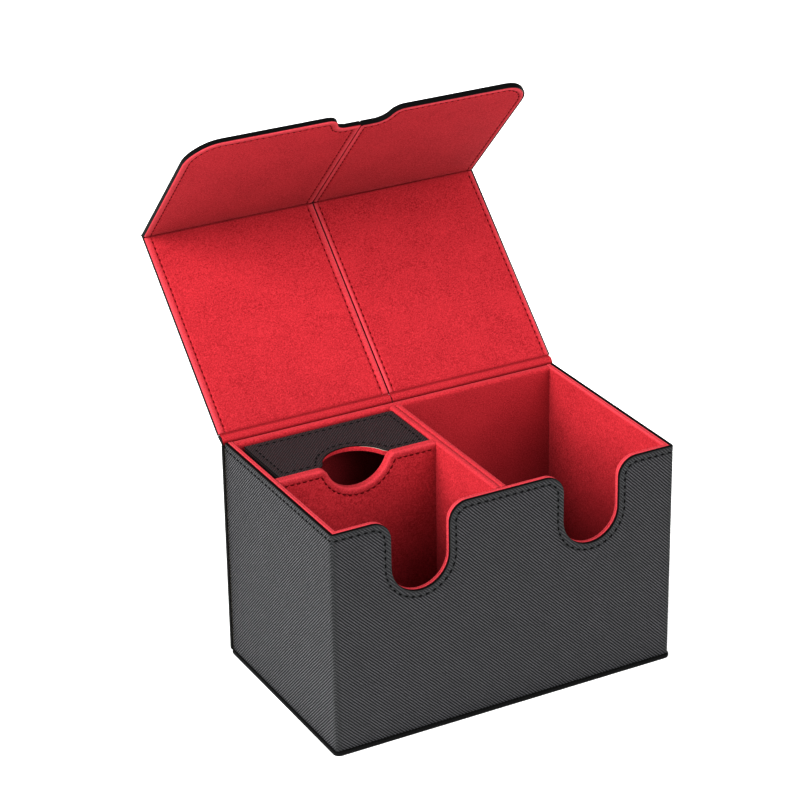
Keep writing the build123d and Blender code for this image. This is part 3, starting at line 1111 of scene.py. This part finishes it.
def tray_inner_cover():
    """Lining of the tray: the frame's own sheet with its sharp edges softened."""
    weld = 0.01 * MM
    soft_edge = 0.2 * MM
    flat_angle = math.radians(2)
    sharp_angle = math.radians(50)
    mesh = bmesh.new()
    mesh.from_mesh(frame["nodes"]["tray_lining"].data)
    bmesh.ops.remove_doubles(mesh, verts=mesh.verts, dist=weld)
    bmesh.ops.dissolve_limit(mesh, angle_limit=flat_angle, verts=mesh.verts, edges=mesh.edges)
    sharp = [line for line in mesh.edges if line.is_manifold and line.calc_face_angle() > sharp_angle]
    bmesh.ops.bevel(mesh, geom=sharp, offset=soft_edge, segments=2, affect="EDGES", clamp_overlap=True)
    made = smooth_object("tray_inner_cover", mesh, red_suede)
    carry(made, "tray", ["tray_lining"])


# Lids and flaps


joints = {joint["name"]: joint for joint in frame["joints"]}


def axis_point(joint):
    """A joint's axis in the middle of the box, in millimetres."""
    _, y, z = joints[joint]["pos_m"]
    return Vector((0, y / MM, z / MM))


def opened(angle):
    """Directions along a panel, towards the hinge, and out of it, for an opening angle in degrees."""
    turn = math.radians(angle)
    along = Vector((0, math.cos(turn), -math.sin(turn)))
    out = Vector((0, math.sin(turn), math.cos(turn)))
    return along, out


lid_open = -joints["right_lid_hinge"]["range_deg"][0]
flap_open = lid_open - joints["right_flap_fold"]["range_deg"][1]
lid_along, lid_out = opened(lid_open)
flap_along, flap_out = opened(flap_open)
hinge_axis = axis_point("right_lid_hinge")
crease_axis = axis_point("right_flap_fold")
crease_run = (crease_axis - hinge_axis).dot(lid_along)
crease_level = (crease_axis - hinge_axis).dot(lid_out)
slit_half = reach("right_lid_leather", X, LOW) - slit_closing
hinge_end = reach("right_hinge_strip", X, HIGH)


def local_reach(node_name, origin, direction, end):
    """Where a CAD node ends along a direction, in millimetres from an origin."""
    vertices = frame["nodes"][node_name].data.vertices
    return end((vertex.co / MM - origin).dot(direction) for vertex in vertices)


lid_outer = local_reach("right_lid_leather", hinge_axis, lid_out, max)
lid_board_in = local_reach("right_lid_board", hinge_axis, lid_out, min)
hinge_groove = local_reach("right_lid_board", hinge_axis, lid_along, max)
flap_end = local_reach("right_flap_leather", crease_axis, flap_along, min)
flap_inner = local_reach("right_flap_lining", crease_axis, flap_out, min)
flap_board_in = local_reach("right_flap_board", crease_axis, flap_out, min)
soft_run = 1.3
soft_depth = 0.5


def lid_place(side):
    """Placing on a lid. Its crease edge is mitred, and its hinge edge sinks softly into the groove."""
    flat = placing(hinge_axis, (side, 0, 0), lid_along, lid_out)

    def place(a, b, h):
        held = crease_half * math.sqrt(2) if h < lid_board_in else 0.0
        b = max(b, crease_run + max(0.0, crease_level - h) + held)
        sink = max(0.0, b - hinge_groove + soft_run) / soft_run
        if h < lid_board_in:
            h += soft_depth * sink**2
        return flat(a, b, h)

    return place


def flap_place(side):
    """Placing on a flap, mitred at its crease."""
    flat = placing(crease_axis, (side, 0, 0), flap_along, flap_out)

    def place(a, b, h):
        held = crease_half * math.sqrt(2) if h < flap_board_in else 0.0
        return flat(a, min(b, -max(0.0, -h) - held), h)

    return place


def turned_edge(outer, lip):
    """Profile of a leather cover turned round a board's edge: inner lip, rounded edge, sewn face."""
    profile = [
        (leather, outer - leather, WALL),
        (leather, lip + 0.2, WALL),
        (0.45, lip, WALL),
        (0.2, lip, WALL),
        (0.05, lip + 0.25, WALL),
        (0.0, lip + 0.6, 0.9),
        (0.0, outer - 0.8, 0.9),
        (0.08, outer - 0.42, 0.9),
        (0.3, outer - 0.14, 0.8),
    ]
    sheet = leather_edge(leather)[4:]
    return profile + [(inset + turned_roll, outer - leather + height, mark) for inset, height, mark in sheet]


def flap_outline(gap):
    """One flap, right side: half of the thumb notch beside the slit, chamfered outer corner."""
    radius = (notch_run**2 + notch_depth**2) / (4 * notch_depth)
    turn = 2 * math.degrees(math.atan2(notch_depth, notch_run))
    floor = flap_end + notch_depth
    slant = math.hypot(flap_chamfer_width, flap_chamfer_length)
    front_radius = flap_front_round * slant * (slant + flap_chamfer_width) / flap_chamfer_length
    side_radius = flap_side_round * slant * (slant + flap_chamfer_length) / flap_chamfer_width
    chamfer = [
        (notch_half_width + notch_run, flap_end),
        (case_half - flap_chamfer_width, flap_end),
        (case_half, flap_end + flap_chamfer_length),
        (case_half, 0.0),
    ]
    points = [(slit_half, floor)]
    points += arc((notch_half_width, floor - radius), radius, 90, 90 - turn)
    points += arc((notch_half_width + notch_run, flap_end + radius), radius, 270 - turn, 270)
    points += rounded_corner(*chamfer[0:3], front_radius)
    points += rounded_corner(*chamfer[1:4], side_radius)
    outline = edge(points, True) + edge([(case_half, 0.0)], False) + edge([(slit_half, 0.0)], True)
    moved = drawn_in(outline, gap)
    last = len(outline) - 1
    return [
        (slit_half if index in (0, last) else a, b, drawn)
        for index, ((a, b), (_, _, drawn)) in enumerate(zip(moved, outline))
    ]


def lid_outline(gap):
    """One lid, right side, open at its crease and its hinge."""
    return open_ended(slit_half, case_half - gap, crease_run, hinge_groove)


def shaded(shape, crease, back):
    """The same sheet with its cut edges beside the slit and the crease marked for painted shade."""
    beside = 0.1
    same_level = 0.01
    for index, (a, b, h) in enumerate(shape.points):
        at_slit = a < slit_half + beside
        at_crease = abs(b - crease) < same_level and h == back
        if at_slit or at_crease:
            shape.marks[index] = PAINTED_SHADE
    return shape


def lid_and_flap(name, side):
    """One lid and its flap: leather outside, suede inside, both sewn."""
    lid = name + "_lid"
    flap = name + "_flap"
    on_lid = lid_place(side)
    on_flap = flap_place(side)
    lip = lip_depths[name]
    gap = lining_gaps[name]
    sewn = lining_seams[name]
    leather_room = 0.5
    lining_room = 0.6
    flap_room = 2.4

    profile = turned_edge(lid_outer, lip)
    limits = (crease_run + leather_room, hinge_groove - leather_room)
    nodes = [lid + "_leather"]
    sewn_leather(lid + "_cover", lid_outline(0.0), profile, on_lid, lid, limits, nodes=nodes)

    inside = lid_outline(gap)
    cuts = [(Y, hinge_groove - soft_run * share) for share in (0.35, 0.7, 1.0)]
    shape = shaded(panel(inside, suede_edge(0.0, lid_board_in, sewn)), crease_run, lid_board_in)
    suede_piece(lid + "_inner_cover", shape, on_lid, lid, [lid + "_lining"], cuts)
    limits = (crease_run + crease_level + lining_room, hinge_groove - lining_room)
    chains = shortened(seam(inside, sewn), *limits)
    lining_sewing(lid + "_inner_stitches", chains, lining_sunk, -1, on_lid, lid)

    profile = turned_edge(leather, flap_inner + lip)
    nodes = [flap + "_leather"]
    sewn_leather(flap + "_cover", flap_outline(0.0), profile, on_flap, flap, nodes=nodes)

    inside = flap_outline(gap)
    shape = shaded(panel(inside, suede_edge(flap_inner, flap_board_in, sewn)), 0.0, flap_board_in)
    suede_piece(flap + "_inner_cover", shape, on_flap, flap, [flap + "_lining"])
    level = flap_inner + lining_sunk
    lining_sewing(flap + "_inner_stitches", seam(inside, sewn), level, -1, on_flap, flap, flap_room)


def bent_piece(name, shape, place, finish, nodes=()):
    """A strip of leather or suede, built where it lies in the frame and carried by no body."""
    is_leather = finish == ridged_leather
    slot = "outer_leather" if is_leather else "suede_lining"
    made = build(name, shape, place, finish, slot, inked=is_leather)
    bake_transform(made)
    if nodes:
        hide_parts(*nodes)


def thickened(line, thick):
    """A closed section: the line, and back along it at a thickness to its right."""
    back = []
    for index, point in enumerate(line):
        before = Vector(line[max(index - 1, 0)])
        after = Vector(line[min(index + 1, len(line) - 1)])
        direction = (after - before).normalized()
        normal = Vector((direction.y, -direction.x))
        back.append(tuple(Vector(point) + normal * thick))
    return line + back[::-1]


def fold_strips(name, side):
    """Leather over the crease between lid and flap, and the lining tucked into it."""
    on_lid = placing(hinge_axis, (side, 0, 0), lid_along, lid_out)
    core = 0.08
    fold_start = 0.15
    leather_end = case_half - 0.1
    lining_end = case_half - 0.8
    smooth = 0.7
    steps = 8
    crease = (crease_run, crease_level)
    section = arc(crease, leather, 90, 180, steps) + arc(crease, core, 180, 90, steps)
    shape = strip(section, black_ended(fold_start, leather_end), [smooth] * len(section))
    ends = (on_lid(0, crease_run, crease_level + leather), on_lid(0, crease_run - leather, crease_level))
    bent_piece(name + "_fold_leather", shape, on_lid, ridged_leather)

    shadowed = -0.45
    mouth = 0.3
    groove_foot, groove_bottom = 1.45, 1.66
    back_foot, back_bottom = 1.7, 2.05
    back_half = crease_half + 0.3
    inner = Vector((crease_run + crease_level, 0.0))
    deep = Vector((-1, 1)).normalized()
    aside = Vector((-1, -1)).normalized()
    tuck = [(mouth, -crease_half), (groove_foot, -crease_half), (groove_bottom, 0)]
    tuck += [(groove_foot, crease_half), (mouth, crease_half), (mouth, back_half)]
    tuck += [(back_foot, back_half), (back_bottom, 0), (back_foot, -back_half), (mouth, -back_half)]
    section = [tuple(inner + deep * depth + aside * away) for depth, away in tuck]
    shape = strip(section, plain_run(fold_start, lining_end), [shadowed] * len(section))
    ends = (on_lid(0, *(inner - aside * crease_half)), on_lid(0, *(inner + aside * crease_half)))
    bent_piece(name + "_fold_lining", shape, on_lid, bent_suede)


def hinge_strips(name, side):
    """Leather and lining that bend between the back of the box and a lid."""
    at_hinge = placing(hinge_axis, (side, 0, 0), (0, 1, 0), (0, 0, 1))
    leather_end = hinge_end + 0.6
    lining_end = hinge_end + 0.2
    lining_thick = 0.45
    bend_start = (-0.45, -0.3)
    bend_run = 0.45
    leather_line = [(0.9, -2.3), (0.95, -1.7), (1.35, -1.25), (2.1, -0.95)]
    leather_line += [(3.1, -0.45), (3.8, 0.0), (4.47, 0.38), (4.75, 0.72)]
    lid_way = Vector((-lid_along.y, -lid_along.z))
    puff_way = Vector((-lid_out.y, -lid_out.z))
    lining_line = [(-1.0, -1.0), (-0.6, -1.0), (-0.3, -0.8), (-0.1, -0.45)]
    swells = [(0.25, 0.0), (0.8, 0.22), (1.5, 0.3), (2.2, 0.22)]
    swells += [(2.7, -0.05), (3.1, -0.4), (3.5, -0.6), (4.6, -0.6)]
    lining_line += [tuple(lid_way * run + puff_way * swell) for run, swell in swells]
    # Painted shade where the lining runs down into the hinge groove and where it dips under the lid's lining
    line_marks = [PAINTED_SHADE, PAINTED_SHADE, PAINTED_SHADE, -0.7, -0.1, 0.1, 0.15, 0.1, FIELD, -0.5, -0.6, -0.5]
    section = thickened(lining_line, lining_thick)
    core = section[len(lining_line) + 1:]
    core_foot = (lining_line[0][0], leather_line[0][1])
    leather_section = leather_line + core + [core_foot]
    marks = [MARGIN] * len(leather_line) + [WALL] * (len(core) + 1)
    shape = strip(leather_section, black_ended(slit_half, leather_end), marks)
    ends = (at_hinge(0, *leather_line[0]), at_hinge(0, *leather_line[-1]))
    nodes = [name + "_hinge_strip"]
    bent_piece(name + "_hinge_leather", shape, at_hinge, ridged_leather, nodes)

    shape = strip(section, plain_run(slit_half, lining_end), line_marks + line_marks[::-1])
    ends = (at_hinge(0, *bend_start), at_hinge(0, *(lid_way * bend_run)))
    bent_piece(name + "_hinge_lining", shape, at_hinge, bent_suede, nodes)


def finish_boards():
    """The boards and magnets of the frame keep their shape and get their own finish."""
    finishes = {"_board": greyboard, "_magnets": plated_steel}
    for name, item in frame["nodes"].items():
        for ending, finish in finishes.items():
            if name.endswith(ending):
                item.data.materials.clear()
                item.data.materials.append(finish)


outer_cover()
inner_cover()
base_cover()
back_cover()
floor_cover()
back_wall_cover()
divider_cover("left")
divider_cover("right")
partition_cover()
tray_covers()
tray_inner_cover()
for side_name, side_sign in (("left", -1), ("right", 1)):
    lid_and_flap(side_name, side_sign)
    fold_strips(side_name, side_sign)
    hinge_strips(side_name, side_sign)
finish_boards()


# Floor, light and camera


def add_floor():
    """A plain pale floor just under the box."""
    half = 6.0
    below = -0.0002
    data = bpy.data.meshes.new("floor")
    corners = [(a, b, below) for a, b in rectangle(-half, half, -half, half)]
    data.from_pydata(corners, [], [(0, 1, 2, 3)])
    data.materials.append(floor_finish())
    new_object("floor", data)


def add_sun(name, toward, strength, width):
    """A broad, even light. Toward points from the object to the light."""
    data = bpy.data.lights.new(name, "SUN")
    data.energy = strength
    data.angle = math.radians(width)
    made = new_object(name, data)
    made.rotation_mode = "QUATERNION"
    made.rotation_quaternion = Vector(toward).to_track_quat("Z", "Y")
    made.visible_glossy = False


def add_world(left_light, right_light):
    """Soft light from all round, stronger from the left."""
    world = bpy.data.worlds.new("studio")
    world.use_nodes = True
    tree = world.node_tree
    way = node(tree, "ShaderNodeTexCoord", {}).outputs["Generated"]
    across = node(tree, "ShaderNodeSeparateXYZ", {"Vector": way}).outputs["X"]
    strength = span(tree, across, -1.0, 1.0, left_light, right_light)
    plug(tree, tree.nodes["Background"], {"Color": (1.0, 1.0, 1.0, 1.0), "Strength": strength})
    bpy.context.scene.world = world


def add_camera():
    """The photograph's camera, fitted to the corners of the box."""
    azimuth = math.radians(-28.29)
    elevation = math.radians(25.06)
    roll = math.radians(-0.89)
    place = (-0.5519, -0.9813, 0.6550)
    focal_pixels = 2838.4
    picture_pixels = 800
    sensor = 36.0
    data = bpy.data.cameras.new("photo_camera")
    data.sensor_width = sensor
    data.lens = sensor * focal_pixels / picture_pixels
    made = new_object("photo_camera", data)
    turn = Matrix.Rotation(azimuth, 4, "Z") @ Matrix.Rotation(math.pi / 2 - elevation, 4, "X")
    made.matrix_world = Matrix.Translation(place) @ turn @ Matrix.Rotation(roll, 4, "Z")
    bpy.context.scene.camera = made


add_floor()
add_sun("key_light", (-0.88, 0.0, 0.47), 7.3, 45)
add_sun("fill_light", (0.30, -0.78, 0.55), 4.2, 60)
add_world(0.45, 0.05)
add_camera()
bpy.context.scene.view_settings.view_transform = "Standard"
bpy.context.scene.view_settings.gamma = 0.8
